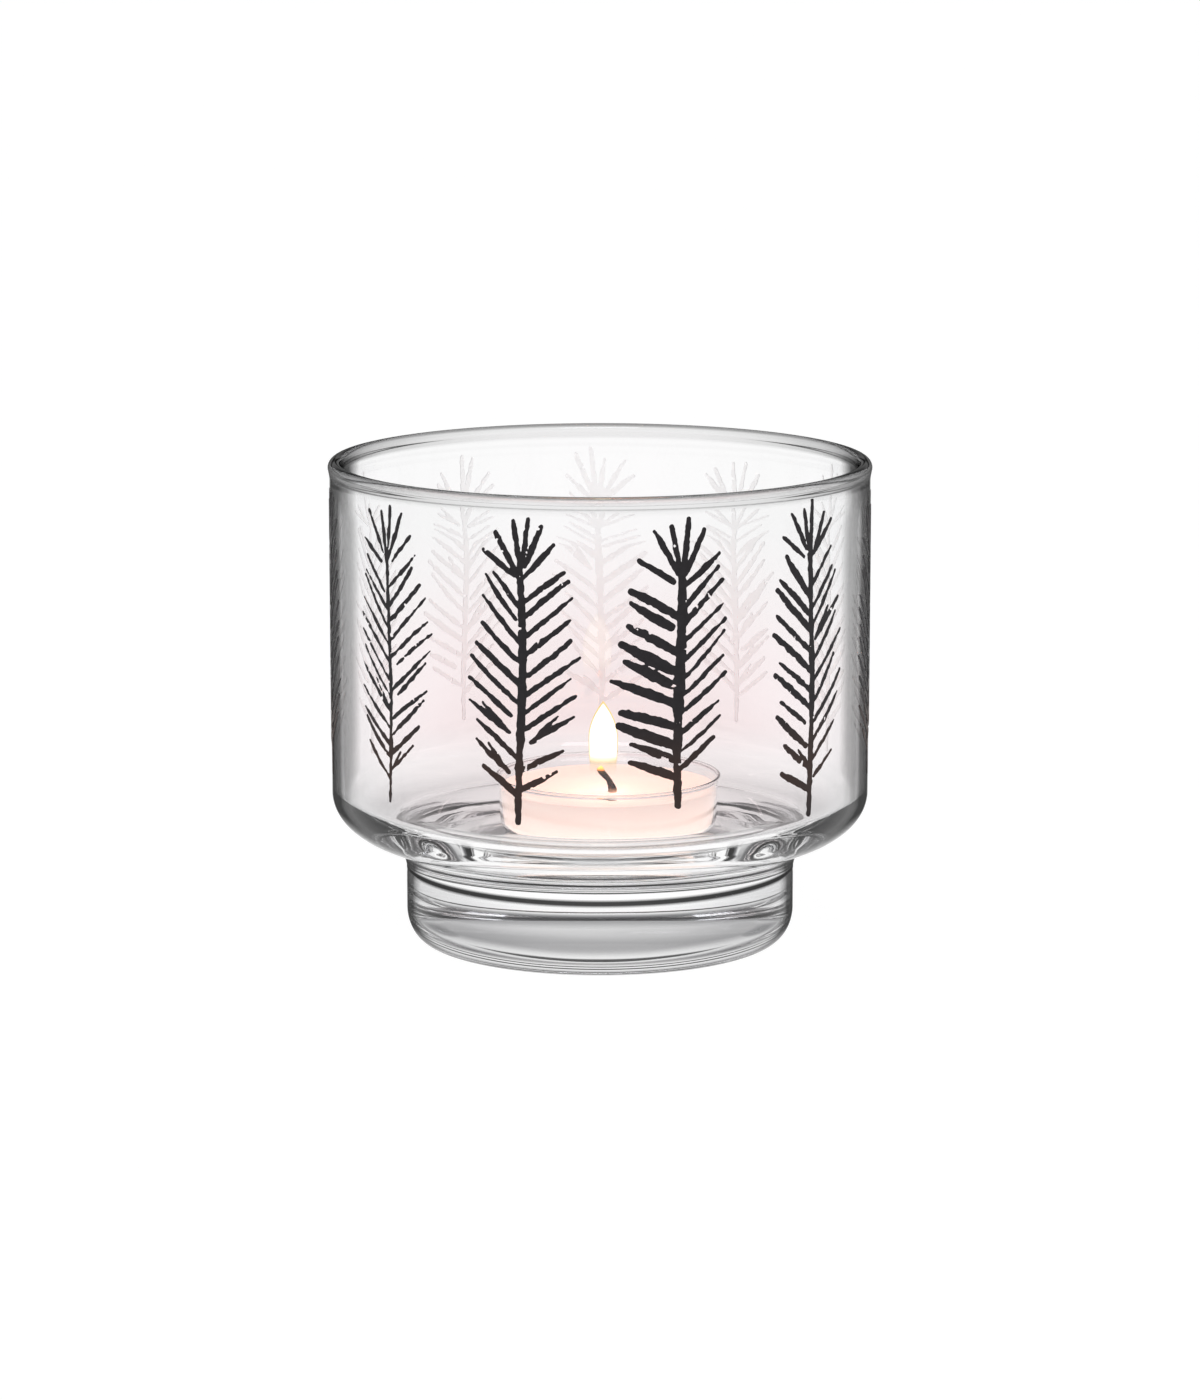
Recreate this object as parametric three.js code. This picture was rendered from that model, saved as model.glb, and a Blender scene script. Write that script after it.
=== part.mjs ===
// Clear pressed-glass tealight holder with printed conifer twigs and a tealight inside.
// Units are millimetres, +Z is up, the holder stands on z = 0 and faces -Y.
import * as THREE from 'three';
import { mergeVertices } from 'three/addons/utils/BufferGeometryUtils.js';

// ---- driving dimensions -------------------------------------------------------------

// glass bowl
const HEIGHT = 83.1;
const WALL_R = 46.0;
const WALL_T = 1.95;
const RIM_R = 46.3;
const RIM_BEAD = 1.2;
const CORNER_TOP_Z = 26.0;
const CORNER_RX = 10.6;
const CORNER_RZ = 8.2;
const INNER_CORNER_TOP_Z = 27.0;
const INNER_LEDGE_R = 33.0;
const INNER_LEDGE_Z = 21.0;
const FLOOR_R = 21.0;
const FLOOR_Z = 18.4;

// glass foot
const FOOT_R = 33.3;
const FOOT_TOP_Z = 13.1;
const FOOT_EDGE_RX = 3.9;
const FOOT_EDGE_RZ = 5.6;
const CONTACT_INNER_R = 27.2;
const RECESS_R = 17.5;
const RECESS_DEPTH = 2.3;

// tealight
const TEALIGHT_X = 1.4;
const CUP_Z = FLOOR_Z + 0.2;
const CUP_RIM_Z = 28.7;
const CUP_RIM_R = 19.3;
const CUP_BASE_R = 18.6;
const CUP_T = 0.5;
const CUP_EDGE = 2.4;
const WAX_GAP = 0.2;
const WAX_TOP_Z = 26.5;
const POOL_Z = 25.3;
const WICK_R = 0.6;
const WICK_HOLE_R = 0.75;
const TAB_R = 6.5;
const TAB_T = 0.35;
const TAB_NECK_R = 1.35;
const TAB_NECK_H = 2.8;
const TAB_GAP = 0.25;

// printed twigs
const TWIG_COUNT = 11;
const PRINT_GAP = 0.12;
const PRINT_T = 0.14;

const GLASS_SEGMENTS = 72;
const CUP_SEGMENTS = 48;

// ---- materials ----------------------------------------------------------------------

const material = (name, color, options = {}) =>
  new THREE.MeshStandardMaterial({ name, color, roughness: 0.5, metalness: 0, ...options });

const GLASS = material('glass', 0xeef3f2, { roughness: 0.05, transparent: true, opacity: 0.35 });
const PRINT = material('print', 0x2b2a2c, { roughness: 0.6 });
const CUP = material('clear_plastic', 0xf2f2f0, { roughness: 0.1, transparent: true, opacity: 0.4 });
const WAX = material('wax', 0xf6e6df, { roughness: 0.4 });
const COTTON = material('wick_cotton', 0x3a2a22, { roughness: 0.9 });
const TIN = material('tinned_steel', 0xb9bcc0, { roughness: 0.3, metalness: 1 });

// ---- shared helpers -----------------------------------------------------------------

const degrees = (angle) => (angle * Math.PI) / 180;

// Points on an ellipse arc in the (radius, height) plane, from one angle to another.
function ellipseArc(centreR, centreZ, radiusR, radiusZ, fromDeg, toDeg, steps) {
  const points = [];
  for (let i = 0; i <= steps; i += 1) {
    const angle = degrees(fromDeg + ((toDeg - fromDeg) * i) / steps);
    points.push([centreR + radiusR * Math.cos(angle), centreZ + radiusZ * Math.sin(angle)]);
  }
  return points;
}

// A smooth S-shaped step from one (radius, height) point to another, ends left out.
function easedStep([r0, z0], [r1, z1], steps) {
  const points = [];
  for (let i = 1; i < steps; i += 1) {
    const t = i / steps;
    points.push([r0 + (r1 - r0) * t, z0 + (z1 - z0) * t * t * (3 - 2 * t)]);
  }
  return points;
}

// Turns an outline of [radius, height] points about the vertical axis.
// The outline runs up the outside and back down the inside.
function turned(outline, segments, centreX = 0) {
  const points = outline.map(([r, z]) => new THREE.Vector2(r, z));
  const geometry = new THREE.LatheGeometry(points, segments);
  geometry.rotateX(Math.PI / 2);
  geometry.translate(centreX, 0, 0);
  return geometry;
}

function named(name, geometry, meshMaterial) {
  const mesh = new THREE.Mesh(geometry, meshMaterial);
  mesh.name = name;
  return mesh;
}

function geometryFrom(positions, triangles) {
  const geometry = new THREE.BufferGeometry();
  geometry.setAttribute('position', new THREE.Float32BufferAttribute(positions.flat(), 3));
  geometry.setIndex(triangles.flat());
  geometry.computeVertexNormals();
  return geometry;
}

// ---- glass holder -------------------------------------------------------------------

function footOutline() {
  return [
    [0, RECESS_DEPTH],
    [RECESS_R, RECESS_DEPTH],
    ...easedStep([RECESS_R, RECESS_DEPTH], [CONTACT_INNER_R, 0], 5),
    [CONTACT_INNER_R, 0],
    ...ellipseArc(FOOT_R - FOOT_EDGE_RX, FOOT_EDGE_RZ, FOOT_EDGE_RX, FOOT_EDGE_RZ, -90, 0, 6),
    [FOOT_R, FOOT_TOP_Z],
  ];
}

function bowlOutside() {
  const cornerR = WALL_R - CORNER_RX;
  return [
    [FOOT_R + 0.4, FOOT_TOP_Z + 1.4],
    [FOOT_R + 1.0, FOOT_TOP_Z + 3.6],
    ...ellipseArc(cornerR, CORNER_TOP_Z, CORNER_RX, CORNER_RZ, -90, 0, 8),
  ];
}

function rimOutline() {
  const beadR = RIM_R - RIM_BEAD;
  const beadZ = HEIGHT - RIM_BEAD;
  return [
    [WALL_R, beadZ - 1.4],
    ...ellipseArc(beadR, beadZ, RIM_BEAD, RIM_BEAD, -20, 200, 8),
    [WALL_R - WALL_T, beadZ - 1.4],
  ];
}

function bowlInside() {
  const innerR = WALL_R - WALL_T;
  const cornerRX = innerR - INNER_LEDGE_R;
  const cornerRZ = INNER_CORNER_TOP_Z - INNER_LEDGE_Z;
  return [
    ...ellipseArc(INNER_LEDGE_R, INNER_CORNER_TOP_Z, cornerRX, cornerRZ, 0, -80, 7),
    ...easedStep([INNER_LEDGE_R + 1.9, INNER_LEDGE_Z + 0.1], [FLOOR_R, FLOOR_Z], 5),
    [FLOOR_R, FLOOR_Z],
    [0, FLOOR_Z],
  ];
}

function glassHolder() {
  const outline = [...footOutline(), ...bowlOutside(), ...rimOutline(), ...bowlInside()];
  return named('glass_holder', turned(outline, GLASS_SEGMENTS), GLASS);
}

// ---- printed twigs ------------------------------------------------------------------

// Small repeatable random source, so every twig is different but always the same.
function randomSource(seed) {
  let state = seed;
  return () => {
    state = (state * 16807) % 2147483647;
    return state / 2147483647;
  };
}

// One entry per twig, going round the glass from the front-left twig to the right.
// base, tip: heights of the stem's ends; rows: needles per side;
// left, right: needle half widths; rise: needle slope in degrees.
const TWIGS = [
  { base: 28.6, tip: 76.5, rows: 12, left: 0.42, right: 0.5, rise: 40, seed: 11 },
  { base: 31.8, tip: 75.5, rows: 11, left: 0.85, right: 0.5, rise: 34, seed: 23 },
  { base: 27.3, tip: 76.0, rows: 11, left: 0.75, right: 0.45, rise: 43, seed: 37 },
  { base: 30.0, tip: 75.0, rows: 12, left: 0.45, right: 0.45, rise: 38, seed: 41 },
  { base: 29.0, tip: 76.2, rows: 11, left: 0.5, right: 0.7, rise: 36, seed: 53 },
  { base: 30.6, tip: 75.2, rows: 12, left: 0.5, right: 0.42, rise: 41, seed: 67 },
  { base: 28.2, tip: 76.4, rows: 11, left: 0.7, right: 0.5, rise: 37, seed: 79 },
  { base: 31.0, tip: 75.8, rows: 11, left: 0.45, right: 0.6, rise: 42, seed: 83 },
  { base: 28.8, tip: 75.6, rows: 12, left: 0.55, right: 0.45, rise: 36, seed: 97 },
  { base: 30.2, tip: 76.3, rows: 11, left: 0.6, right: 0.5, rise: 39, seed: 103 },
  { base: 29.9, tip: 75.0, rows: 12, left: 0.4, right: 0.42, rise: 40, seed: 113 },
];

const STEM_HALF_WIDTH = 0.65;
const BARE_STEM = 4.5;
const NEEDLE_LENGTH = 11.5;

// Flat outline of one twig: points are [across, height], triangles index them.
function twigSheet(twig) {
  const random = randomSource(twig.seed);
  const spread = (amount) => (random() - 0.5) * 2 * amount;
  const points = [];
  const triangles = [];
  const add = (across, height) => points.push([across, height]) - 1;
  const stemAt = (height) => 0.5 * Math.sin((height - twig.base) / 9 + twig.seed);

  // Each side of the stem is a chain of points; needles grow from every other gap.
  const sides = [-1, 1].map((side) => {
    const halfNeedle = side < 0 ? twig.left : twig.right;
    const chain = [add(stemAt(twig.base) + side * 0.35, twig.base)];
    const roots = [];
    const pitch = (twig.tip - twig.base - BARE_STEM) / twig.rows;
    for (let row = 0; row < twig.rows; row += 1) {
      const height = twig.base + BARE_STEM + pitch * (row + (side < 0 ? 0.25 : 0.55)) + spread(0.3);
      const halfWidth = STEM_HALF_WIDTH * (1 - (0.35 * row) / twig.rows);
      const low = add(stemAt(height - 0.6) + side * halfWidth, height - 0.6);
      const high = add(stemAt(height + 0.6) + side * halfWidth, height + 0.6);
      chain.push(low, high);
      roots.push({ low, high, row, side, halfNeedle });
    }
    chain.push(add(stemAt(twig.tip) + side * 0.3, twig.tip));
    return { chain, roots };
  });

  const [left, right] = sides;
  for (let i = 0; i + 1 < left.chain.length; i += 1) {
    triangles.push([left.chain[i], right.chain[i], right.chain[i + 1]]);
    triangles.push([left.chain[i], right.chain[i + 1], left.chain[i + 1]]);
  }
  const tip = add(stemAt(twig.tip) + spread(0.4), twig.tip + 2.6);
  triangles.push([left.chain.at(-1), right.chain.at(-1), tip]);

  for (const { low, high, row, side, halfNeedle } of [...left.roots, ...right.roots]) {
    const along = row / (twig.rows - 1);
    const bell = Math.sin(Math.PI * (0.18 + 0.62 * along));
    const length = NEEDLE_LENGTH * (0.35 + 0.65 * bell) * (1 + spread(0.1));
    const rise = degrees(twig.rise + 28 * Math.max(0, along - 0.75) * 4 * 0.5 + spread(4));
    const direction = [side * Math.cos(rise), Math.sin(rise)];
    const rootX = (points[low][0] + points[high][0]) / 2;
    const rootZ = (points[low][1] + points[high][1]) / 2;
    const midX = rootX + direction[0] * length * 0.55;
    const midZ = rootZ + direction[1] * length * 0.55;
    const across = [-direction[1] * side * halfNeedle, direction[0] * side * halfNeedle];
    const midLow = add(midX - across[0], midZ - across[1]);
    const midHigh = add(midX + across[0], midZ + across[1]);
    const end = add(rootX + direction[0] * length, rootZ + direction[1] * length);
    const fan = [[low, midLow, midHigh], [low, midHigh, high], [midLow, end, midHigh]];
    triangles.push(...fan.map(([a, b, c]) => (side > 0 ? [a, b, c] : [a, c, b])));
  }
  return { points, triangles };
}

// Wraps a flat sheet round the glass as a thin closed print.
function wrappedPrint(sheet, centreAngle) {
  const place = (radius) => sheet.points.map(([across, height]) => {
    const angle = centreAngle + across / WALL_R;
    return [radius * Math.sin(angle), -radius * Math.cos(angle), height];
  });
  const count = sheet.points.length;
  const positions = [...place(WALL_R + PRINT_GAP + PRINT_T), ...place(WALL_R + PRINT_GAP)];
  const triangles = [];
  const edges = new Map();
  for (const [a, b, c] of sheet.triangles) {
    triangles.push([a, b, c], [a + count, c + count, b + count]);
    for (const [from, to] of [[a, b], [b, c], [c, a]]) {
      if (!edges.delete(`${to}_${from}`)) edges.set(`${from}_${to}`, [from, to]);
    }
  }
  for (const [from, to] of edges.values()) {
    triangles.push([from, from + count, to + count], [from, to + count, to]);
  }
  return geometryFrom(positions, triangles);
}

function twigPrints() {
  const pitch = (2 * Math.PI) / TWIG_COUNT;
  return TWIGS.map((twig, index) => {
    const centreAngle = (index - 0.5) * pitch;
    const name = `twig_print_${String(index + 1).padStart(2, '0')}`;
    return named(name, wrappedPrint(twigSheet(twig), centreAngle), PRINT);
  });
}

// ---- tealight -----------------------------------------------------------------------

function tealightCup() {
  const edgeR = CUP_BASE_R - CUP_EDGE;
  const inner = CUP_EDGE - CUP_T;
  const outline = [
    [0, CUP_Z],
    ...ellipseArc(edgeR, CUP_Z + CUP_EDGE, CUP_EDGE, CUP_EDGE, -90, 0, 4),
    [CUP_RIM_R - 0.3, CUP_RIM_Z - 0.9],
    [CUP_RIM_R, CUP_RIM_Z - 0.6],
    [CUP_RIM_R, CUP_RIM_Z],
    [CUP_RIM_R - 0.6, CUP_RIM_Z],
    ...ellipseArc(edgeR, CUP_Z + CUP_EDGE, inner, inner, 0, -90, 3),
    [0, CUP_Z + CUP_T],
  ];
  return named('tealight_cup', turned(outline, CUP_SEGMENTS, TEALIGHT_X), CUP);
}

function waxFill() {
  const bottom = CUP_Z + CUP_T + WAX_GAP;
  const edge = CUP_EDGE - CUP_T;
  const edgeR = CUP_BASE_R - CUP_EDGE;
  const outerR = CUP_BASE_R - CUP_T - WAX_GAP;
  const tabTop = bottom + TAB_T + TAB_GAP;
  const neckTop = bottom + TAB_NECK_H + TAB_GAP;
  const outline = [
    [TAB_R + TAB_GAP, bottom],
    ...ellipseArc(edgeR, bottom + edge, outerR - edgeR, edge, -90, 0, 3),
    [outerR + 0.2, WAX_TOP_Z],
    [outerR - 1.2, WAX_TOP_Z - 0.5],
    [outerR - 5, POOL_Z + 0.2],
    [WICK_HOLE_R + 1, POOL_Z],
    [WICK_HOLE_R, POOL_Z + 0.1],
    [WICK_HOLE_R, neckTop],
    [TAB_NECK_R + TAB_GAP, neckTop],
    [TAB_NECK_R + TAB_GAP, tabTop],
    [TAB_R + TAB_GAP, tabTop],
    [TAB_R + TAB_GAP, bottom],
  ];
  return named('wax', turned(outline, CUP_SEGMENTS, TEALIGHT_X), WAX);
}

function wickTab() {
  const bottom = CUP_Z + CUP_T + WAX_GAP;
  const outline = [
    [WICK_HOLE_R, bottom],
    [TAB_R, bottom],
    [TAB_R, bottom + TAB_T],
    [TAB_NECK_R, bottom + TAB_T],
    [TAB_NECK_R, bottom + TAB_NECK_H],
    [WICK_HOLE_R, bottom + TAB_NECK_H],
    [WICK_HOLE_R, bottom],
  ];
  return named('wick_tab', turned(outline, 32, TEALIGHT_X), TIN);
}

// The wick stands in its tab, leaves the wax and leans to the left at its burnt end.
function wick() {
  const path = new THREE.CatmullRomCurve3([
    new THREE.Vector3(0, 0, CUP_Z + CUP_T + WAX_GAP + 0.2),
    new THREE.Vector3(0, 0, CUP_Z + 3),
    new THREE.Vector3(0, 0, POOL_Z + 0.2),
    new THREE.Vector3(0.1, 0, POOL_Z + 1.4),
    new THREE.Vector3(-0.6, 0, POOL_Z + 2.8),
    new THREE.Vector3(-1.7, 0, POOL_Z + 4.2),
  ]);
  const rings = 14;
  const sides = 10;
  const frames = path.computeFrenetFrames(rings, false);
  const positions = [];
  const triangles = [];
  for (let ring = 0; ring <= rings; ring += 1) {
    const centre = path.getPointAt(ring / rings);
    for (let side = 0; side < sides; side += 1) {
      const angle = (2 * Math.PI * side) / sides;
      const point = centre.clone()
        .addScaledVector(frames.normals[ring], WICK_R * Math.cos(angle))
        .addScaledVector(frames.binormals[ring], WICK_R * Math.sin(angle));
      positions.push([point.x + TEALIGHT_X, point.y, point.z]);
      if (ring < rings) {
        const here = ring * sides + side;
        const next = ring * sides + ((side + 1) % sides);
        triangles.push([here, next, next + sides], [here, next + sides, here + sides]);
      }
    }
  }
  const last = rings * sides;
  for (let side = 1; side + 1 < sides; side += 1) {
    triangles.push([0, side + 1, side], [last, last + side, last + side + 1]);
  }
  return named('wick', geometryFrom(positions, triangles), COTTON);
}

// ---- assembly -----------------------------------------------------------------------

const part = new THREE.Group();
part.name = 'tealight_holder';
part.add(glassHolder(), ...twigPrints(), tealightCup(), waxFill(), wickTab(), wick());
part.traverse((object) => {
  if (object.isMesh) object.geometry = mergeVertices(object.geometry, 0.001);
});

export default part;
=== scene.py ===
import math

import bpy
import numpy as np
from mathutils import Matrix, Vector
from mathutils.geometry import delaunay_2d_cdt


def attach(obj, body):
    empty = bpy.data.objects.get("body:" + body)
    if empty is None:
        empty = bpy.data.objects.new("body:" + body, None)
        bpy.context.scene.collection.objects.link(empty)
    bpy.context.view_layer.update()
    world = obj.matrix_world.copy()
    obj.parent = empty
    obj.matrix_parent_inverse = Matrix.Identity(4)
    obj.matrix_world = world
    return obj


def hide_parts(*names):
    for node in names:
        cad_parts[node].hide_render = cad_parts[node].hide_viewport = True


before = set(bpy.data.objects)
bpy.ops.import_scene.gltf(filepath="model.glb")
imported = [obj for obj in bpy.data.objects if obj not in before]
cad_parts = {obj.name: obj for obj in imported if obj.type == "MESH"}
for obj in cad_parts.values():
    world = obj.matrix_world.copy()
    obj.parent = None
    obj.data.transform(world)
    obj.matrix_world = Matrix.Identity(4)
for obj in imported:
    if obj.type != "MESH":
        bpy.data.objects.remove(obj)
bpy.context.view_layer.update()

MM = 0.001

# ---- sizes, in millimetres ----------------------------------------------------------

HEIGHT = 83.1
WALL_R = 46.0
WALL_T = 1.95
RIM_BEAD = 1.2
RIM_R = 46.25
CORNER_TOP_Z = 26.0
CORNER_RX = 10.6
CORNER_RZ = 8.2
INNER_CORNER_TOP_Z = 27.0
INNER_LEDGE_R = 33.0
INNER_LEDGE_Z = 21.0
FLOOR_R = 21.0
FLOOR_Z = 18.4
FOOT_R = 33.3
FOOT_TOP_Z = 13.1
FOOT_EDGE_RX = 3.9
FOOT_EDGE_RZ = 5.6
CONTACT_INNER_R = 27.2
RECESS_R = 17.5
RECESS_DEPTH = 2.3

CUP_X = 1.4
CUP_Z = FLOOR_Z + 0.08
CUP_RIM_Z = 28.7
CUP_RIM_R = 19.3
CUP_BASE_R = 18.6
CUP_T = 0.5
CUP_EDGE = 2.4
WAX_TOP_Z = 26.5
POOL_Z = 25.3
WICK_R = 0.6
WICK_FULLNESS = 1.3
WICK_RISE = 4.4
FLAME_BASE_Z = 28.6
FLAME_TIP_Z = 41.3
FLAME_HOT_LOW_Z = 29.6
FLAME_HOT_HIGH_Z = 33.0
FLAME_R = 2.5
FLAME_X = 0.55
FLAME_SHOULDER = 0.49
FLAME_LAMP_Z = 35.5

# where the flame's glow is painted on other pieces, and the heights of the glass's painted shade
# and glow
ENAMEL_PAINTED_GLOW_Z = 36.0
ENAMEL_PAINTED_GLOW_REACH = 12.0
WAX_PAINTED_GLOW_R = 19.0
WAX_PAINTED_GLOW_LOW_Z = 18.0
WAX_PAINTED_GLOW_HIGH_Z = 27.0
WALL_PAINTED_SHADE_LOW_Z = 24.0
WALL_PAINTED_SHADE_HIGH_Z = 30.0
ROSY_FADE_LOW_Z = 44.0
ROSY_FADE_HIGH_Z = 68.0

PRINT_IN_R = WALL_R + 0.03
PRINT_OUT_R = WALL_R + 0.1
TWIG_COUNT = 11
GRID = 0.2


# ---- mesh helpers -------------------------------------------------------------------

def add_mesh(name, vertices, faces, materials, face_slots=None, smooth=True):
    mesh = bpy.data.meshes.new(name)
    mesh.from_pydata([tuple(v) for v in vertices], [], [tuple(f) for f in faces])
    for material in materials:
        mesh.materials.append(material)
    if face_slots is not None:
        mesh.polygons.foreach_set("material_index", face_slots)
    mesh.polygons.foreach_set("use_smooth", [smooth] * len(mesh.polygons))
    mesh.update()
    obj = bpy.data.objects.new(name, mesh)
    bpy.context.scene.collection.objects.link(obj)
    return obj


def ellipse_arc(centre_r, centre_z, radius_r, radius_z, start, end, steps):
    angles = [math.radians(start + (end - start) * i / steps) for i in range(steps + 1)]
    return [(centre_r + radius_r * math.cos(a), centre_z + radius_z * math.sin(a)) for a in angles]


def line(start, end, steps):
    """Points between two outline points, the end included and the start left out."""
    return [
        (start[0] + (end[0] - start[0]) * i / steps, start[1] + (end[1] - start[1]) * i / steps)
        for i in range(1, steps + 1)
    ]


def eased(start, end, steps):
    """An S-shaped step between two outline points, both left out."""
    points = []
    for i in range(1, steps):
        t = i / steps
        points.append((start[0] + (end[0] - start[0]) * t,
                       start[1] + (end[1] - start[1]) * t * t * (3 - 2 * t)))
    return points


def lathe(name, outline, segments, material, centre_x=0.0):
    """Turns an outline, up the outside and down the inside, about the vertical axis."""
    vertices, rings, faces = [], [], []
    for radius, height in outline:
        if radius < 1e-6:
            rings.append([len(vertices)] * segments)
            vertices.append((centre_x * MM, 0, height * MM))
            continue
        rings.append(list(range(len(vertices), len(vertices) + segments)))
        for k in range(segments):
            angle = 2 * math.pi * k / segments
            vertices.append(((centre_x + radius * math.cos(angle)) * MM,
                             radius * math.sin(angle) * MM, height * MM))
    for low, high in zip(rings, rings[1:]):
        for k in range(segments):
            n = (k + 1) % segments
            corners = [low[k], low[n], high[n], high[k]]
            faces.append([c for i, c in enumerate(corners) if c != corners[i - 1]])
    return add_mesh(name, vertices, faces, [material])


def tube(name, points, radii, sides, material, flutes=0.0):
    """A closed tube along points, in millimetres, with a braided outline if flutes is set."""
    vertices, faces = [], []
    for i, (point, radius) in enumerate(zip(points, radii)):
        ahead = Vector(points[min(i + 1, len(points) - 1)]) - Vector(points[max(i - 1, 0)])
        ahead.normalize()
        across = ahead.cross(Vector((0, 1, 0))).normalized()
        other = ahead.cross(across)
        for k in range(sides):
            angle = 2 * math.pi * k / sides
            ripple = 1 + flutes * math.cos(3 * angle + i * 0.55)
            offset = (across * math.cos(angle) + other * math.sin(angle)) * radius * ripple
            vertices.append((Vector(point) + offset) * MM)
    for i in range(len(points) - 1):
        for k in range(sides):
            n = (k + 1) % sides
            faces.append((i * sides + k, i * sides + n, (i + 1) * sides + n, (i + 1) * sides + k))
    last = (len(points) - 1) * sides
    faces.append(tuple(range(sides))[::-1])
    faces.append(tuple(range(last, last + sides)))
    return add_mesh(name, vertices, faces, [material])


# ---- material helpers ---------------------------------------------------------------

class Nodes:
    """Short names for building one node tree."""

    def __init__(self, tree):
        self.tree = tree

    def add(self, kind, **settings):
        node = self.tree.nodes.new("ShaderNode" + kind)
        for key, value in settings.items():
            if hasattr(node, key):
                setattr(node, key, value)
            else:
                node.inputs[key.replace("_", " ")].default_value = value
        return node

    def link(self, output, socket):
        self.tree.links.new(output, socket)

    def coordinates(self):
        return self.add("TexCoord").outputs["Object"]

    def position(self, axis):
        separate = self.add("SeparateXYZ")
        self.link(self.coordinates(), separate.inputs[0])
        return separate.outputs[axis]

    def facing(self):
        return self.add("LayerWeight", Blend=0.5).outputs["Facing"]

    def normal_z(self):
        separate = self.add("SeparateXYZ")
        self.link(self.add("NewGeometry").outputs["Normal"], separate.inputs[0])
        return separate.outputs["Z"]

    def upright(self):
        """1 on upright surfaces, 0 on level ones."""
        return self.remap(self.maths("ABSOLUTE", self.normal_z()), 0.75, 0.3)

    def mix(self, factor, first, second):
        node = self.add("Mix", data_type="RGBA")
        for index, value in ((0, factor), (6, first), (7, second)):
            self.link(value, node.inputs[index])
        return node.outputs[2]

    def noise(self, scale, detail=3.0):
        node = self.add("TexNoise", Scale=scale, Detail=detail)
        self.link(self.coordinates(), node.inputs["Vector"])
        return node.outputs["Fac"]

    def ramp(self, value, stops):
        node = self.add("ValToRGB")
        self.link(value, node.inputs["Fac"])
        elements = node.color_ramp.elements
        while len(elements) < len(stops):
            elements.new(0.5)
        for element, (position, colour) in zip(elements, stops):
            element.position = position
            element.color = (*colour, 1)
        return node.outputs["Color"]

    def remap(self, value, low, high, to_low=0.0, to_high=1.0, smooth=False):
        node = self.add("MapRange", From_Min=low, From_Max=high, To_Min=to_low, To_Max=to_high)
        if smooth:
            node.interpolation_type = "SMOOTHSTEP"
        self.link(value, node.inputs["Value"])
        return node.outputs["Result"]

    def maths(self, operation, first, second=None):
        node = self.add("Math", operation=operation)
        for socket, value in zip(node.inputs, (first, second)):
            if isinstance(value, (int, float)):
                socket.default_value = value
            elif value is not None:
                self.link(value, socket)
        return node.outputs[0]

    def bump(self, height, strength, distance):
        node = self.add("Bump", Strength=strength, Distance=distance)
        self.link(height, node.inputs["Height"])
        return node.outputs["Normal"]


def principled(name, **values):
    """A material with one Principled shader: its constants set on the shader's own sockets."""
    material = bpy.data.materials.new(name)
    material.use_nodes = True
    shader = material.node_tree.nodes["Principled BSDF"]
    for key, value in values.items():
        shader.inputs[key.replace("_", " ")].default_value = value
    return material, Nodes(material.node_tree), shader.inputs


def grey(value):
    return (value, value, value)


def cool_grey(value):
    return (value, value, value + 0.005)


def painted_glass_shade_and_glow(nodes, facing, height):
    """The glass's colour: clear, with painted shade greying it toward its outlines and across the
    foot, and a painted rosy glow round the candle.
    """
    # painted shade: the glass greys toward its outlines, standing in for reflected dark
    # surroundings
    level = nodes.ramp(facing, [
        (0.0, grey(0.985)),
        (0.5, grey(0.97)),
        (0.66, cool_grey(0.82)),
        (0.8, cool_grey(0.4)),
        (1.0, cool_grey(0.12)),
    ])
    outline = [
        (0.5, cool_grey(0.955)),
        (0.64, cool_grey(0.84)),
        (0.71, cool_grey(0.55)),
        (0.92, cool_grey(0.3)),
        (0.95, cool_grey(0.6)),
    ]
    # painted glow: a rosy colour round the flame's height, fading out higher up
    rosy = nodes.ramp(facing, [
        (0.0, (0.945, 0.865, 0.868)),
        (0.1, (0.96, 0.89, 0.893)),
        (0.25, (0.985, 0.94, 0.945)),
        *outline,
    ])
    clear = nodes.ramp(facing, [
        (0.0, (0.975, 0.97, 0.972)),
        (0.1, grey(0.96)),
        (0.33, grey(0.945)),
        *outline,
    ])
    # painted shade: the foot greys from its middle toward its sides
    foot = nodes.ramp(facing, [
        (0.0, grey(1.0)),
        (0.06, grey(0.96)),
        (0.16, cool_grey(0.84)),
        (0.3, cool_grey(0.68)),
        (0.6, cool_grey(0.6)),
        (0.8, cool_grey(0.3)),
        (1.0, cool_grey(0.15)),
    ])
    fade = nodes.remap(height, ROSY_FADE_LOW_Z * MM, ROSY_FADE_HIGH_Z * MM, smooth=True)
    wall = nodes.mix(fade, rosy, clear)
    wall_share = nodes.remap(height, WALL_PAINTED_SHADE_LOW_Z * MM, WALL_PAINTED_SHADE_HIGH_Z * MM)
    above_foot = nodes.mix(wall_share, level, wall)
    below_top = nodes.remap(height, (FOOT_TOP_Z + 0.1) * MM, (FOOT_TOP_Z - 0.3) * MM)
    foot_share = nodes.maths("MULTIPLY", nodes.upright(), below_top)
    return nodes.mix(foot_share, above_foot, foot)


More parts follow.
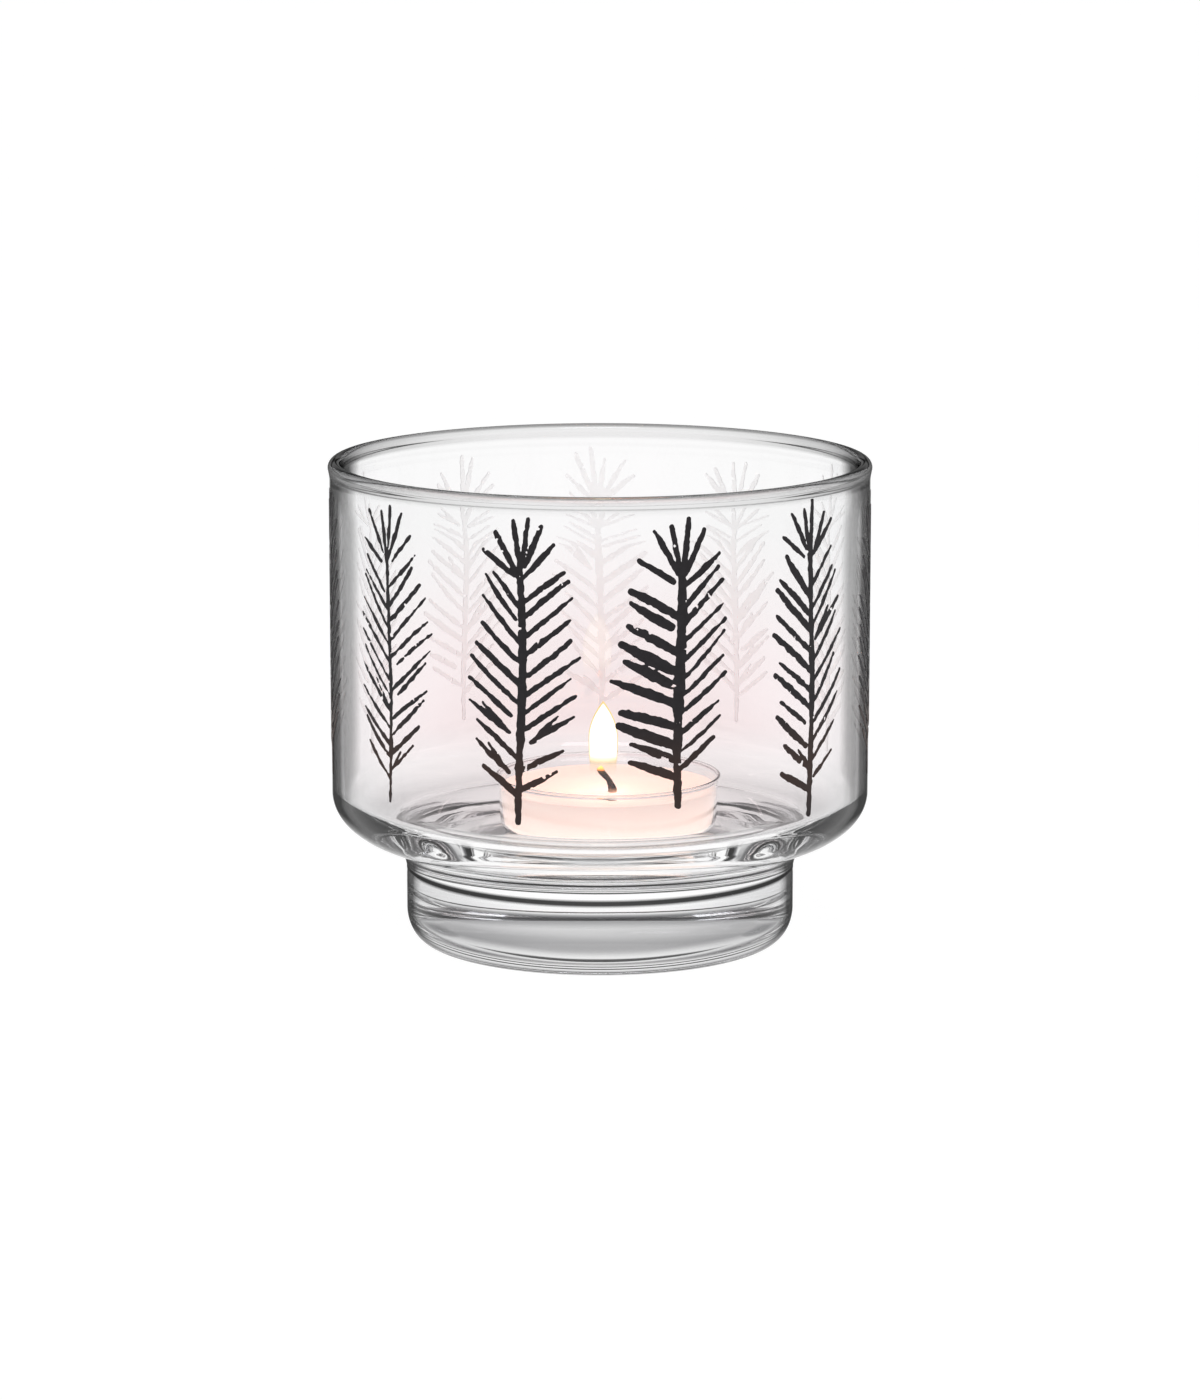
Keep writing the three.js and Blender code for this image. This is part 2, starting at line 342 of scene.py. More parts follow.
def painted_glass_outline_shade(nodes, facing, height):
    """How dark the coat is: painted shade along the side outlines, the rim bead and the foot's
    crease.
    """
    # painted shade: dark coat along the side outlines where they are seen edge-on
    edge = nodes.ramp(facing, [
        (0.64, grey(0.0)),
        (0.7, grey(0.35)),
        (0.76, grey(0.8)),
        (0.92, grey(0.92)),
        (0.95, grey(0.3)),
    ])
    # painted shade: the rim bead darkens where it is seen edge-on and where it faces up
    bead = nodes.ramp(facing, [(0.1, grey(0.06)), (0.5, grey(0.3)), (1.0, grey(0.95))])
    rim_share = nodes.remap(height, (HEIGHT - 2.8) * MM, (HEIGHT - 2.2) * MM)
    side_edge = nodes.maths("MULTIPLY", edge, nodes.upright())
    rim_dark = nodes.maths("MAXIMUM", bead, nodes.remap(nodes.normal_z(), 0.45, 0.8, 0.0, 0.58))
    # painted shade: a thin dark ring in the crease at the top of the foot
    from_crease = nodes.maths("ABSOLUTE", nodes.maths("SUBTRACT", height, FOOT_TOP_Z * MM))
    crease = nodes.remap(from_crease, 0.0003, 0.0008, 0.95, 0.0)
    body_dark = nodes.maths("MAXIMUM", side_edge, crease)
    return nodes.mix(rim_share, body_dark, rim_dark)


def glass_material():
    """Clear glass under a dark coat that paints shade along its outlines."""
    material, nodes, inputs = principled(
        "pressed_glass", Roughness=0.0, IOR=1.5, Transmission_Weight=1.0, Coat_IOR=1.0)
    facing = nodes.facing()
    height = nodes.position("Z")
    nodes.link(painted_glass_shade_and_glow(nodes, facing, height), inputs["Base Color"])
    nodes.link(painted_glass_outline_shade(nodes, facing, height), inputs["Coat Weight"])
    # the coat's near-black colour carries the painted outline shade
    inputs["Coat Tint"].default_value = (0.02, 0.02, 0.02, 1)
    ripple = nodes.noise(30.0, 2.0)
    nodes.link(nodes.bump(ripple, 0.08, 0.001), inputs["Normal"])
    return material


def ink_material(name, dark, light):
    material, nodes, inputs = principled(name, Roughness=0.6, Specular_IOR_Level=0.2)
    grain = nodes.noise(900.0, 4.0)
    nodes.link(nodes.ramp(grain, [(0.3, dark), (0.75, light)]), inputs["Base Color"])
    nodes.link(nodes.remap(grain, 0.3, 0.7, 0.45, 0.7), inputs["Roughness"])
    nodes.link(nodes.bump(grain, 0.25, 0.0001), inputs["Normal"])
    return material, nodes, inputs


def black_enamel():
    """Dense black, browned a little by a painted orange glow round the flame's height, where the
    flame would shine through it.
    """
    material, nodes, inputs = ink_material(
        "black_enamel", (0.016, 0.014, 0.016), (0.03, 0.027, 0.03))
    # painted glow: faint orange emission, strongest at the flame's height
    above_flame = nodes.maths("SUBTRACT", nodes.position("Z"), ENAMEL_PAINTED_GLOW_Z * MM)
    from_flame = nodes.maths("ABSOLUTE", above_flame)
    glow = nodes.remap(from_flame, 0.0, ENAMEL_PAINTED_GLOW_REACH * MM, 0.022, 0.0, smooth=True)
    nodes.link(glow, inputs["Emission Strength"])
    inputs["Emission Color"].default_value = (1.0, 0.36, 0.1, 1)
    return material


def under_enamel():
    """Nearly white backing coat, seen from inside the glass; it glows with painted light, as if
    lit through from behind.
    """
    material, _, inputs = ink_material(
        "pale_under_enamel", (0.8, 0.79, 0.79), (0.86, 0.85, 0.85))
    # painted light: the backing coat glows though it is no lamp
    inputs["Emission Color"].default_value = (0.83, 0.82, 0.82, 1)
    inputs["Emission Strength"].default_value = 0.78
    return material


def cup_material():
    material, nodes, inputs = principled(
        "clear_polycarbonate", Roughness=0.02, IOR=1.5, Transmission_Weight=1.0)
    # painted shade: the clear cup darkens and warms toward its outlines
    tint_and_painted_edge_shade = nodes.ramp(nodes.facing(), [(0.0, (0.99, 0.98, 0.98)), (1.0, (0.9, 0.87, 0.86))])
    nodes.link(tint_and_painted_edge_shade, inputs["Base Color"])
    nodes.link(nodes.bump(nodes.noise(60.0), 0.05, 0.0005), inputs["Normal"])
    return material


def wax_material():
    """Soft cream wax with painted light: it glows as if lit through by the flame, brightest round
    the wick.
    """
    material, nodes, inputs = principled(
        "paraffin_wax", Roughness=0.35, Subsurface_Weight=0.3, Subsurface_Scale=0.004, IOR=1.43)
    mottle = nodes.noise(140.0, 5.0)
    colour = nodes.ramp(mottle, [(0.3, (0.3, 0.25, 0.22)), (0.7, (0.36, 0.3, 0.265))])
    nodes.link(colour, inputs["Base Color"])
    across = nodes.maths("SUBTRACT", nodes.position("X"), CUP_X * MM)
    radius = nodes.maths("SQRT", nodes.maths(
        "ADD", nodes.maths("POWER", across, 2.0), nodes.maths("POWER", nodes.position("Y"), 2.0)))
    # painted glow: emission colour set by distance from the wick
    glow = nodes.ramp(nodes.remap(radius, 0.0, WAX_PAINTED_GLOW_R * MM), [
        (0.0, (1.0, 0.88, 0.78)),
        (0.4, (1.0, 0.81, 0.7)),
        (0.8, (1.0, 0.79, 0.7)),
        (1.0, (1.0, 0.86, 0.77)),
    ])
    nodes.link(glow, inputs["Emission Color"])
    # painted glow: emission strength falls from the bottom of the wax to its top
    strength = nodes.remap(
        nodes.position("Z"), WAX_PAINTED_GLOW_LOW_Z * MM, WAX_PAINTED_GLOW_HIGH_Z * MM, 1.3, 0.86)
    nodes.link(strength, inputs["Emission Strength"])
    nodes.link(nodes.bump(mottle, 0.1, 0.0004), inputs["Normal"])
    return material


def wick_material():
    material, nodes, inputs = principled(
        "charred_cotton", Roughness=0.95, Specular_IOR_Level=0.1)
    height = nodes.remap(nodes.position("Z"), POOL_Z * MM, (POOL_Z + WICK_RISE) * MM)
    char = nodes.ramp(height, [
        (0.0, (0.8, 0.55, 0.42)),
        (0.1, (0.5, 0.3, 0.2)),
        (0.2, (0.03, 0.011, 0.006)),
        (0.85, (0.016, 0.007, 0.004)),
        (1.0, (0.3, 0.1, 0.02)),
    ])
    nodes.link(char, inputs["Base Color"])
    ember = nodes.ramp(height, [(0.86, (0, 0, 0)), (1.0, (1, 1, 1))])
    nodes.link(nodes.maths("MULTIPLY", ember, 3.0), inputs["Emission Strength"])
    inputs["Emission Color"].default_value = (1.0, 0.35, 0.08, 1)
    nodes.link(nodes.bump(nodes.noise(2500.0), 0.8, 0.0003), inputs["Normal"])
    return material


def tin_material():
    material, nodes, inputs = principled("tin_plate", Metallic=1.0, Roughness=0.3)
    grain = nodes.noise(1200.0, 4.0)
    nodes.link(nodes.ramp(grain, [(0.3, (0.6, 0.61, 0.63)), (0.7, (0.78, 0.79, 0.8))]),
               inputs["Base Color"])
    nodes.link(nodes.remap(grain, 0.3, 0.7, 0.22, 0.4), inputs["Roughness"])
    return material


def flame_material(name, hot, cool, strength, density):
    """A glowing shell: a faint haze round the wick, growing hot above it."""
    material, nodes, inputs = principled(name, Roughness=1.0, Specular_IOR_Level=0.0)
    inputs["Base Color"].default_value = (0, 0, 0, 1)
    height = nodes.position("Z")
    body = nodes.remap(height, FLAME_HOT_LOW_Z * MM, FLAME_HOT_HIGH_Z * MM, smooth=True)
    nodes.link(nodes.ramp(body, [(0.2, cool), (0.8, hot)]), inputs["Emission Color"])
    nodes.link(nodes.remap(body, 0.2, 1.0, 1.0, strength), inputs["Emission Strength"])
    rising = nodes.remap(height, FLAME_BASE_Z * MM, (FLAME_BASE_Z + 2.5) * MM, smooth=True)
    haze = nodes.maths("MULTIPLY", rising, 0.14)
    veil = nodes.maths("MAXIMUM", body, haze)
    nodes.link(nodes.maths("MULTIPLY", veil, density), inputs["Alpha"])
    return material


def floor_material():
    material, nodes, inputs = principled("studio_floor", Roughness=0.8, Specular_IOR_Level=0.1)
    speck = nodes.noise(25.0, 2.0)
    nodes.link(nodes.ramp(speck, [(0.3, (0.13, 0.13, 0.13)), (0.7, (0.14, 0.14, 0.14))]),
               inputs["Base Color"])
    inputs["Emission Color"].default_value = (1, 1, 1, 1)
    inputs["Emission Strength"].default_value = 0.97
    return material


# ---- glass holder -------------------------------------------------------------------

def foot_outline():
    recess = (RECESS_R, RECESS_DEPTH)
    contact = (CONTACT_INNER_R, 0.0)
    foot_top = (FOOT_R, FOOT_TOP_Z)
    edge = ellipse_arc(
        FOOT_R - FOOT_EDGE_RX, FOOT_EDGE_RZ, FOOT_EDGE_RX, FOOT_EDGE_RZ, -90, 0, 20)
    return [(0.0, RECESS_DEPTH), recess, *eased(recess, contact, 16), contact,
            *edge, *line(edge[-1], foot_top, 6)]


def bowl_outline():
    neck = (FOOT_R + 0.4, FOOT_TOP_Z + 1.4)
    shoulder = (FOOT_R + 1.0, FOOT_TOP_Z + 3.6)
    corner = ellipse_arc(WALL_R - CORNER_RX, CORNER_TOP_Z, CORNER_RX, CORNER_RZ, -90, 0, 36)
    return [neck, shoulder, *corner, *line(corner[-1], (WALL_R, HEIGHT - RIM_BEAD - 1.4), 10)]


def rim_outline():
    return ellipse_arc(RIM_R - RIM_BEAD, HEIGHT - RIM_BEAD, RIM_BEAD, RIM_BEAD, -20, 200, 22)


def inside_outline():
    inner_r = WALL_R - WALL_T
    corner = ellipse_arc(INNER_LEDGE_R, INNER_CORNER_TOP_Z, inner_r - INNER_LEDGE_R,
                         INNER_CORNER_TOP_Z - INNER_LEDGE_Z, 0, -80, 30)
    wall_top = (inner_r, HEIGHT - RIM_BEAD - 1.4)
    floor_edge = (FLOOR_R, FLOOR_Z)
    return [wall_top, *line(wall_top, corner[0], 10), *corner[1:],
            *eased((INNER_LEDGE_R + 1.9, INNER_LEDGE_Z + 0.1), floor_edge, 16),
            floor_edge, (0.0, FLOOR_Z)]


def make_glass():
    outline = [*foot_outline(), *bowl_outline(), *rim_outline(), *inside_outline()]
    glass = lathe("pressed_glass_bowl", outline, 256, glass_material())
    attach(glass, "holder")
    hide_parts("glass_holder")


# ---- printed twigs ------------------------------------------------------------------

# One entry per twig, round the glass from the front-left one to the right.
# base, tip: heights of the twig's ends; rows: needles per side; stem: its half width;
# left, right: needle half width and slope in degrees.
TWIGS = [
    dict(base=29.2, tip=79.8, rows=11, stem=0.72, left=(0.56, 38), right=(0.48, 31), seed=11),
    dict(base=32.1, tip=78.6, rows=10, stem=0.9, left=(0.9, 20), right=(0.46, 38), seed=29),
    dict(base=27.9, tip=80.0, rows=11, stem=0.72, left=(0.62, 36), right=(0.46, 40), seed=37),
    dict(base=30.0, tip=77.0, rows=12, stem=0.5, left=(0.42, 38), right=(0.42, 36), seed=41),
    dict(base=29.0, tip=78.2, rows=11, stem=0.62, left=(0.46, 34), right=(0.62, 36), seed=53),
    dict(base=30.6, tip=77.2, rows=12, stem=0.6, left=(0.48, 40), right=(0.42, 37), seed=67),
    dict(base=28.2, tip=78.4, rows=11, stem=0.7, left=(0.6, 30), right=(0.46, 38), seed=79),
    dict(base=31.0, tip=77.8, rows=11, stem=0.55, left=(0.44, 40), right=(0.55, 32), seed=83),
    dict(base=28.8, tip=77.6, rows=12, stem=0.6, left=(0.5, 36), right=(0.44, 38), seed=97),
    dict(base=30.2, tip=78.3, rows=11, stem=0.66, left=(0.56, 33), right=(0.46, 39), seed=103),
    dict(base=29.9, tip=79.3, rows=12, stem=0.42, left=(0.36, 38), right=(0.38, 35), seed=113),
]

BARE_STEM = 4.0
NEEDLE_LENGTH = 11.6
CROWN_DROP = 10.0
CROWN_LEANS = (-52, -31, -11, 6, 27, 48)
SHEET_HALF_WIDTH = 12.0
SHEET_LOW = 25.0
SHEET_HIGH = 80.8


class Sketch:
    """The few random calls that the brush strokes use, on one seeded source."""

    def __init__(self, source):
        self.source = source

    def uniform(self, low, high):
        return float(self.source.uniform(low, high))

    def chance(self, share):
        return float(self.source.random()) < share


def brush_stroke(start, direction, length, half_width, bend, blunt):
    """A stroke as [x, z, half width] samples: thin at the root, full in the middle."""
    samples = []
    side = (-direction[1], direction[0])
    for i in range(9):
        t = i / 8
        width = half_width * (0.6 + 0.4 * math.sin(math.pi * min(1, 0.1 + t * 0.8)))
        width *= 1 - (1 - blunt) * t ** 3
        arch = bend * length * t * t
        samples.append((start[0] + direction[0] * length * t + side[0] * arch,
                        start[1] + direction[1] * length * t + side[1] * arch, width))
    return samples


def stem_offset(twig, height):
    return 0.4 * math.sin((height - twig["base"]) / 9 + twig["seed"])


def stem_stroke(twig, random):
    length = twig["tip"] - CROWN_DROP + 3.0 - twig["base"]
    samples = []
    for i in range(25):
        t = i / 24
        height = twig["base"] + length * t
        width = twig["stem"] * (0.75 + 0.25 * math.sin(math.pi * t)) * random.uniform(0.8, 1.15)
        samples.append((stem_offset(twig, height), height, width))
    return samples


def needle_strokes(twig, random):
    strokes = []
    low = twig["base"] + BARE_STEM
    pitch = (twig["tip"] - CROWN_DROP - 2.5 - low) / twig["rows"]
    for side, (half_width, slope) in ((-1, twig["left"]), (1, twig["right"])):
        for row in range(twig["rows"]):
            along = row / (twig["rows"] - 1)
            height = low + pitch * (row + 0.3 + 0.2 * side) + random.uniform(-0.45, 0.45)
            fullness = 0.62 + 0.38 * math.sin(math.pi * (0.1 + 0.75 * along))
            length = NEEDLE_LENGTH * fullness * random.uniform(0.84, 1.06)
            rise = math.radians(slope + 10 * along + random.uniform(-5, 5))
            direction = (side * math.cos(rise), math.sin(rise))
            gap = random.uniform(1.0, 2.6) if row > 0 and random.chance(0.16) else 0.0
            start = (stem_offset(twig, height) + direction[0] * gap, height + direction[1] * gap)
            width = half_width * random.uniform(0.75, 1.15)
            bend = side * random.uniform(-0.07, 0.08)
            strokes.append(brush_stroke(start, direction, length - gap, width, bend,
                                        random.uniform(0.6, 1.0)))
            if random.chance(0.12):
                turned = rise + math.radians(random.uniform(9, 14))
                twin = (side * math.cos(turned), math.sin(turned))
                strokes.append(brush_stroke(start, twin, length * 0.6, width * 0.8, bend, 0.6))
    return strokes


def crown_strokes(twig, random):
    """The separate strokes that fan out over the stem's top."""
    strokes = []
    for lean in CROWN_LEANS:
        angle = math.radians(90 - lean + random.uniform(-5, 5))
        direction = (math.cos(angle), math.sin(angle))
        gap = random.uniform(0.3, 2.4)
        root = twig["tip"] - CROWN_DROP + random.uniform(-0.8, 1.2)
        start = (stem_offset(twig, root) + direction[0] * gap, root + direction[1] * gap)
        reach = CROWN_DROP * (1 - 0.16 * (lean / 50) ** 2) * random.uniform(0.9, 1.04) - gap
        width = random.uniform(0.8, 1.1) * (0.2 + 0.45 * twig["stem"])
        strokes.append(brush_stroke(start, direction, reach, width, 0.02, 0.9))
    return strokes


def twig_strokes(twig, random):
    """All the brush strokes of one twig, as lists of samples."""
    return [stem_stroke(twig, random), *needle_strokes(twig, random),
            *crown_strokes(twig, random)]


def cell_noise(random, shape, cell):
    """Smooth random field of about -1 to 1 with features of the given number of cells."""
    rows, columns = int(shape[0] / cell) + 3, int(shape[1] / cell) + 3
    lattice = random.uniform(-1, 1, (rows, columns))
    y = np.arange(shape[0]) / cell
    x = np.arange(shape[1]) / cell
    row, column = y.astype(int), x.astype(int)
    fy, fx = y - row, x - column
    fy, fx = (fy * fy * (3 - 2 * fy))[:, None], (fx * fx * (3 - 2 * fx))[None, :]
    corner = lattice[np.ix_(row, column)] * (1 - fx) + lattice[np.ix_(row, column + 1)] * fx
    below = lattice[np.ix_(row + 1, column)] * (1 - fx) + lattice[np.ix_(row + 1, column + 1)] * fx
    return corner * (1 - fy) + below * fy


def ink_field(strokes, random):
    """Signed distance to the ink on a grid: negative inside, with ragged edges."""
    xs = np.arange(-SHEET_HALF_WIDTH, SHEET_HALF_WIDTH + GRID / 2, GRID)
    zs = np.arange(SHEET_LOW, SHEET_HIGH + GRID / 2, GRID)
    field = np.full((len(zs), len(xs)), 2.0)
    for samples in strokes:
        for (x0, z0, w0), (x1, z1, w1) in zip(samples, samples[1:]):
            reach = max(w0, w1) + 0.8
            c0, c1 = np.searchsorted(xs, [min(x0, x1) - reach, max(x0, x1) + reach])
            r0, r1 = np.searchsorted(zs, [min(z0, z1) - reach, max(z0, z1) + reach])
            gx, gz = np.meshgrid(xs[c0:c1], zs[r0:r1])
            dx, dz = x1 - x0, z1 - z0
            t = ((gx - x0) * dx + (gz - z0) * dz) / (dx * dx + dz * dz)
            t = np.clip(t, 0, 1)
            distance = np.hypot(gx - x0 - t * dx, gz - z0 - t * dz) - (w0 + (w1 - w0) * t)
            field[r0:r1, c0:c1] = np.minimum(field[r0:r1, c0:c1], distance)
    ragged = 0.13 * cell_noise(random, field.shape, 4.5)
    ragged += 0.07 * cell_noise(random, field.shape, 2.2)
    field += ragged
    holes = cell_noise(random, field.shape, 5.0) + 0.5 * cell_noise(random, field.shape, 2.5)
    field = np.maximum(field, np.where(field > -0.55, (holes - 1.02) * 1.2, -1.0))
    field[0, :] = field[-1, :] = field[:, 0] = field[:, -1] = 1.0
    return xs, zs, field


def ink_outline(xs, zs, field):
    """Marching squares: edge points and the segments that join them."""
    inside = field < 0
    points, index, segments = [], {}, []

    def crossing(row, column, next_row, next_column):
        key = (row, column, next_row, next_column)
        if key not in index:
            a, b = field[row, column], field[next_row, next_column]
            t = min(0.9, max(0.1, a / (a - b)))
            index[key] = len(points)
            points.append(Vector((xs[column] + (xs[next_column] - xs[column]) * t,
                                  zs[row] + (zs[next_row] - zs[row]) * t)))
        return index[key]

    count = (inside[:-1, :-1].astype(int) + inside[:-1, 1:] + inside[1:, :-1] + inside[1:, 1:])
    for row, column in np.argwhere((count > 0) & (count < 4)):
        row, column = int(row), int(column)
        low = inside[row, column] != inside[row, column + 1]
        high = inside[row + 1, column] != inside[row + 1, column + 1]
        left = inside[row, column] != inside[row + 1, column]
        right = inside[row, column + 1] != inside[row + 1, column + 1]
        cuts = []
        if low:
            cuts.append(crossing(row, column, row, column + 1))
        if right:
            cuts.append(crossing(row, column + 1, row + 1, column + 1))
        if high:
            cuts.append(crossing(row + 1, column, row + 1, column + 1))
        if left:
            cuts.append(crossing(row, column, row + 1, column))
        if len(cuts) == 2:
            segments.append(tuple(cuts))
        elif inside[row, column]:
            segments += [(cuts[0], cuts[3]), (cuts[1], cuts[2])]
        else:
            segments += [(cuts[0], cuts[1]), (cuts[2], cuts[3])]
    return points, segments


def ink_sheet(twig):
    """Flat triangles of one twig's ink."""
    random = np.random.default_rng(twig["seed"])
    xs, zs, field = ink_field(twig_strokes(twig, Sketch(random)), random)
    points, segments = ink_outline(xs, zs, field)
    corners, _, triangles, *_ = delaunay_2d_cdt(points, segments, [], 0, 1e-6)
    kept = []
    for a, b, c in triangles:
        centre = (corners[a] + corners[b] + corners[c]) / 3
        row, column = (centre.y - SHEET_LOW) / GRID, (centre.x + SHEET_HALF_WIDTH) / GRID
        i, j = int(row), int(column)
        up, across = row - i, column - j
        value = ((field[i, j] * (1 - across) + field[i, j + 1] * across) * (1 - up)
                 + (field[i + 1, j] * (1 - across) + field[i + 1, j + 1] * across) * up)
        if value < 0:
            kept.append((a, b, c))
    return corners, kept


def make_print(number, twig, centre_angle, materials):
    corners, triangles = ink_sheet(twig)
    count = len(corners)

    def around(radius):
        angles = [centre_angle + corner.x / WALL_R for corner in corners]
        return [(radius * MM * math.sin(a), -radius * MM * math.cos(a), corner.y * MM)
                for a, corner in zip(angles, corners)]

    edges = {}
    for triangle in triangles:
        for start, end in zip(triangle, triangle[1:] + triangle[:1]):
            if edges.pop((end, start), None) is None:
                edges[(start, end)] = True
    outer = list(triangles)
    inner = [(a + count, c + count, b + count) for a, b, c in triangles]
    sides = [(start, start + count, end + count, end) for start, end in edges]
    slots = [0] * len(outer) + [1] * len(inner) + [0] * len(sides)
    name = f"twig_enamel_{number:02d}"
    obj = add_mesh(name, around(PRINT_OUT_R) + around(PRINT_IN_R), outer + inner + sides,
                   materials, slots, smooth=False)
    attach(obj, "holder")
    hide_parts(f"twig_print_{number:02d}")


def make_prints():
    materials = [black_enamel(), under_enamel()]
    for index, twig in enumerate(TWIGS):
        angle = (index - 0.5) * 2 * math.pi / TWIG_COUNT
        make_print(index + 1, twig, angle, materials)


# ---- tealight -----------------------------------------------------------------------

def make_cup():
    edge_r = CUP_BASE_R - CUP_EDGE
    inner = CUP_EDGE - CUP_T
    outer_arc = ellipse_arc(edge_r, CUP_Z + CUP_EDGE, CUP_EDGE, CUP_EDGE, -90, 0, 12)
    inner_arc = ellipse_arc(edge_r, CUP_Z + CUP_EDGE, inner, inner, 0, -90, 12)
    outline = [
        (0.0, CUP_Z), *outer_arc,
        (CUP_RIM_R - 0.4, CUP_RIM_Z - 1.1), (CUP_RIM_R - 0.3, CUP_RIM_Z - 0.8),
        *ellipse_arc(CUP_RIM_R - 0.28, CUP_RIM_Z - 0.28, 0.28, 0.28, -60, 180, 10),
        (CUP_RIM_R - 0.75, CUP_RIM_Z - 1.1),
        *inner_arc, (0.0, CUP_Z + CUP_T),
    ]
    cup = lathe("clear_cup", outline, 160, cup_material(), CUP_X)
    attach(cup, "tealight")
    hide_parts("tealight_cup")


def make_wax():
    bottom = CUP_Z + CUP_T + 0.06
    edge = CUP_EDGE - CUP_T
    edge_r = CUP_BASE_R - CUP_EDGE
    outer_r = CUP_BASE_R - CUP_T - 0.06
    outline = [
        (0.0, bottom),
        *ellipse_arc(edge_r, bottom + edge, outer_r - edge_r, edge, -90, 0, 10),
        *line((outer_r, bottom + edge), (outer_r + 0.4, WAX_TOP_Z), 8),
        (outer_r + 0.2, WAX_TOP_Z + 0.02),
        *eased((outer_r, WAX_TOP_Z), (outer_r - 5, POOL_Z + 0.25), 12),
        *eased((outer_r - 5, POOL_Z + 0.25), (1.5, POOL_Z), 6),
        (1.2, POOL_Z + 0.05), (0.0, POOL_Z + 0.1),
    ]
    wax = lathe("wax_fill", outline, 128, wax_material(), CUP_X)
    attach(wax, "candle")
    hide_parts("wax")


def make_wick():
    """The wick leaves the pool and leans to the left at its burnt end."""
    bends = [(0.5, -0.6), (0.7, 0.3), (0.6, 1.2), (0.1, 2.1),
             (-0.6, 3.0), (-1.3, 3.9), (-1.7, WICK_RISE)]
    steps = 5
    points, radii = [], []
    for i in range(len(bends) - 1):
        (x0, z0), (x1, z1) = bends[i], bends[i + 1]
        for k in range(steps):
            t = k / steps
            points.append((CUP_X + x0 + (x1 - x0) * t, 0, POOL_Z + z0 + (z1 - z0) * t))
            grown = (i + t) / (len(bends) - 1)
            knots = 0.85 + 0.15 * math.sin(9 * grown)
            radii.append(WICK_R * WICK_FULLNESS * knots * (1 - 0.3 * grown))
    wick = tube("burnt_wick", points, radii, 18, wick_material(), 0.12)
    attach(wick, "candle")
    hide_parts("wick")


def finish_wick_tab():
    """The tab keeps its CAD shape and takes a better material."""
    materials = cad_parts["wick_tab"].data.materials
    materials.clear()
    materials.append(tin_material())


def flame_half_width(t):
    """Half width of the flame at a share t of its height: full low down, an ogive above."""
    if t < FLAME_SHOULDER:
        return FLAME_R * (0.93 + 0.07 * math.sin(math.pi / 2 * t / FLAME_SHOULDER))
    return FLAME_R * (1 - ((t - FLAME_SHOULDER) / (1 - FLAME_SHOULDER)) ** 2)


def flame_shell(name, shrink, material):
    low, high = FLAME_BASE_Z + shrink, FLAME_TIP_Z - 2 * shrink
    steps = 60
    outline = [(0.0, low)]
    for i in range(1, steps):
        outline.append((flame_half_width(i / steps) - shrink, low + (high - low) * i / steps))
    outline = [point for point in outline if point[0] >= 0]
    outline.append((0.0, high))
    shell = lathe(name, outline, 64, material, FLAME_X)
    shell.visible_shadow = False
    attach(shell, "candle")


def make_flame():
    hot, yellow, orange = (1.0, 0.97, 0.88), (1.0, 0.74, 0.22), (1.0, 0.62, 0.25)
    flame_shell("flame_edge", 0.0, flame_material("flame_edge", yellow, orange, 1.1, 0.6))
    flame_shell("flame_body", 0.15, flame_material("flame_body", hot, yellow, 4.0, 1.0))
    lamp = bpy.data.lights.new("flame_light", "POINT")
    lamp.energy = 0.015
    lamp.color = (1.0, 0.62, 0.42)
    lamp.shadow_soft_size = 0.003
    light = bpy.data.objects.new("flame_light", lamp)
    light.location = (FLAME_X * MM, 0, FLAME_LAMP_Z * MM)
    light.visible_transmission = False
    light.visible_glossy = False
    bpy.context.scene.collection.objects.link(light)
    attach(light, "candle")


# ---- studio -------------------------------------------------------------------------

def make_floor():
    half = 12.0
    corners = [(-half, -half, 0), (half, -half, 0), (half, half, 0), (-half, half, 0)]
    floor = add_mesh("floor", corners, [(0, 1, 2, 3)], [floor_material()])
    floor.location.z = -0.0002


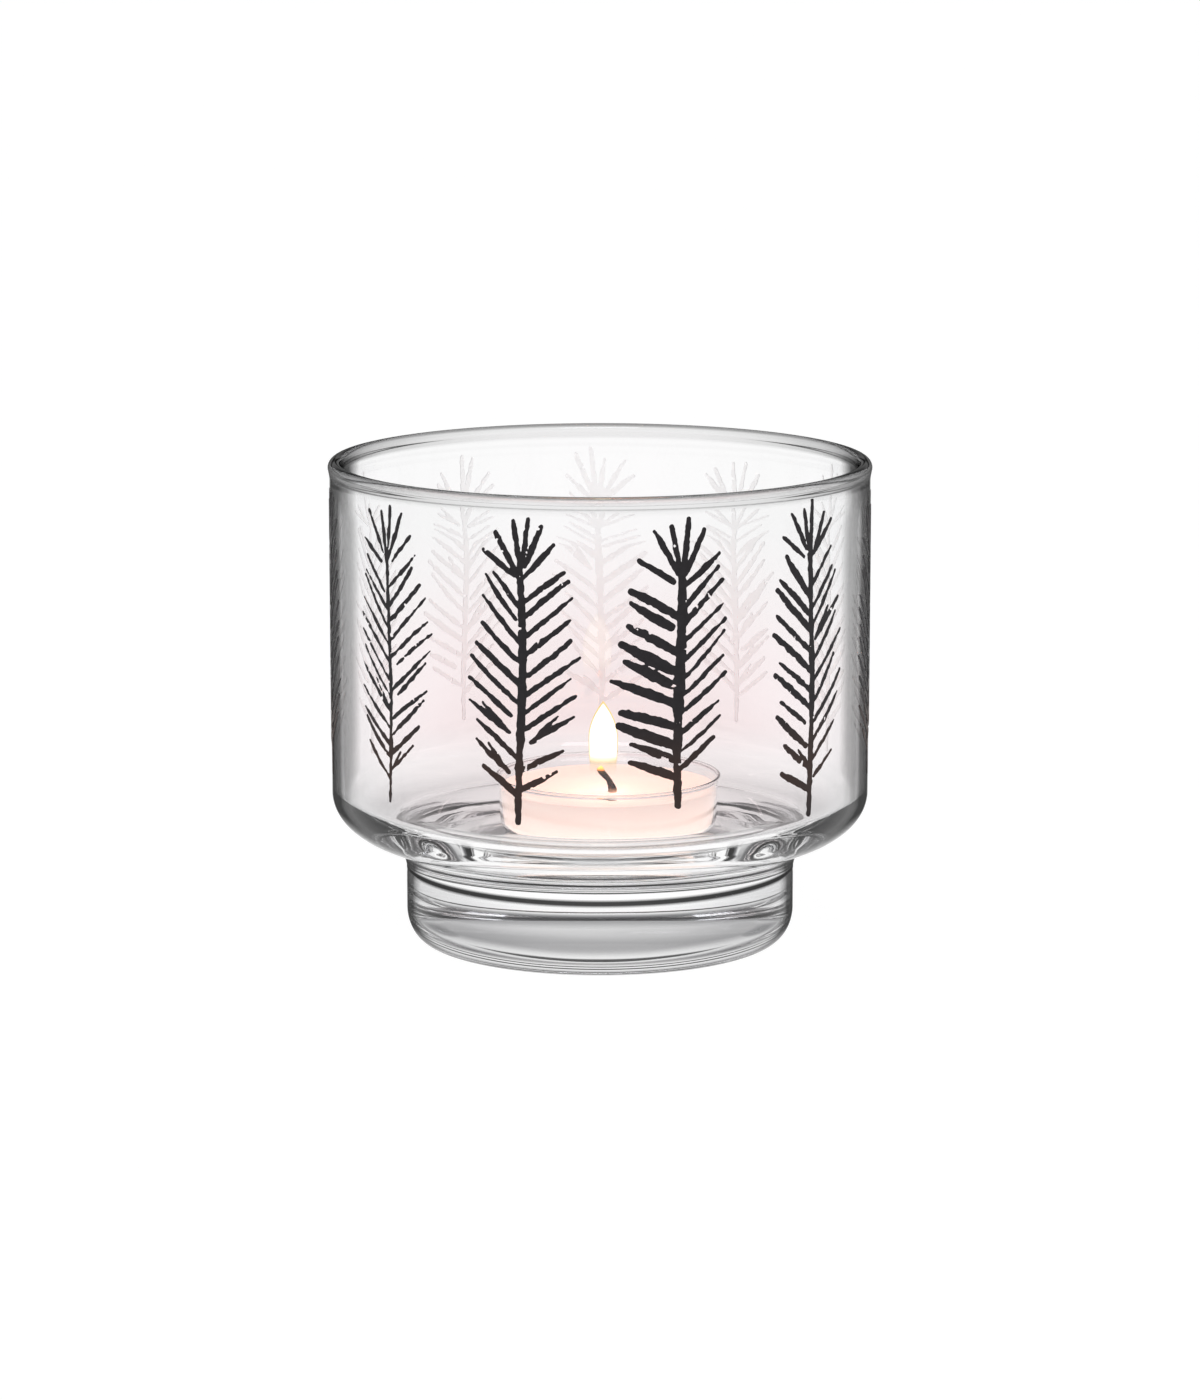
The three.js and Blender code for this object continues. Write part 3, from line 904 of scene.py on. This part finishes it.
def make_world():
    """White round the horizon for the background, darker overhead for the glass to show."""
    world = bpy.data.worlds.new("studio")
    bpy.context.scene.world = world
    world.use_nodes = True
    nodes = Nodes(world.node_tree)
    background = world.node_tree.nodes["Background"]
    separate = nodes.add("SeparateXYZ")
    nodes.link(nodes.add("TexCoord").outputs["Generated"], separate.inputs[0])
    level = nodes.ramp(nodes.remap(separate.outputs["Z"], 0.0, 1.0), [
        (0.1, grey(1.0)),
        (0.112, grey(0.06)),
        (0.135, grey(0.06)),
        (0.15, grey(0.9)),
        (0.17, grey(0.86)),
        (0.25, cool_grey(0.4)),
        (0.4, cool_grey(0.12)),
        (1.0, cool_grey(0.07)),
    ])
    nodes.link(level, background.inputs["Color"])
    background.inputs["Strength"].default_value = 1.0


def make_softbox():
    lamp = bpy.data.lights.new("front_softbox", "AREA")
    lamp.shape = "RECTANGLE"
    lamp.size, lamp.size_y = 0.6, 0.4
    lamp.energy = 3.0
    lamp.color = (0.93, 0.95, 1.0)
    light = bpy.data.objects.new("front_softbox", lamp)
    light.location = (0.0, -0.75, 0.95)
    aim = Vector((0, 0, 0.04)) - light.location
    light.rotation_euler = aim.to_track_quat("-Z", "Y").to_euler()
    bpy.context.scene.collection.objects.link(light)


def make_camera():
    distance = 0.8765
    pitch = math.radians(10.711)
    data = bpy.data.cameras.new("camera")
    data.lens = 131.45
    data.sensor_width = 36
    data.clip_start = 0.01
    camera = bpy.data.objects.new("camera", data)
    aim = Vector((0, 0, 0.0413))
    camera.location = aim + Vector((0, -math.cos(pitch), math.sin(pitch))) * distance
    camera.rotation_euler = (math.pi / 2 - pitch, 0, 0)
    bpy.context.scene.collection.objects.link(camera)
    bpy.context.scene.camera = camera


def make_studio():
    make_floor()
    make_world()
    make_softbox()
    make_camera()
    scene = bpy.context.scene
    scene.view_settings.view_transform = "Standard"
    scene.cycles.max_bounces = 24
    scene.cycles.transmission_bounces = 24
    scene.cycles.transparent_max_bounces = 16
    scene.cycles.glossy_bounces = 12
    scene.cycles.diffuse_bounces = 3


make_glass()
make_prints()
make_cup()
make_wax()
make_wick()
make_flame()
make_studio()
finish_wick_tab()
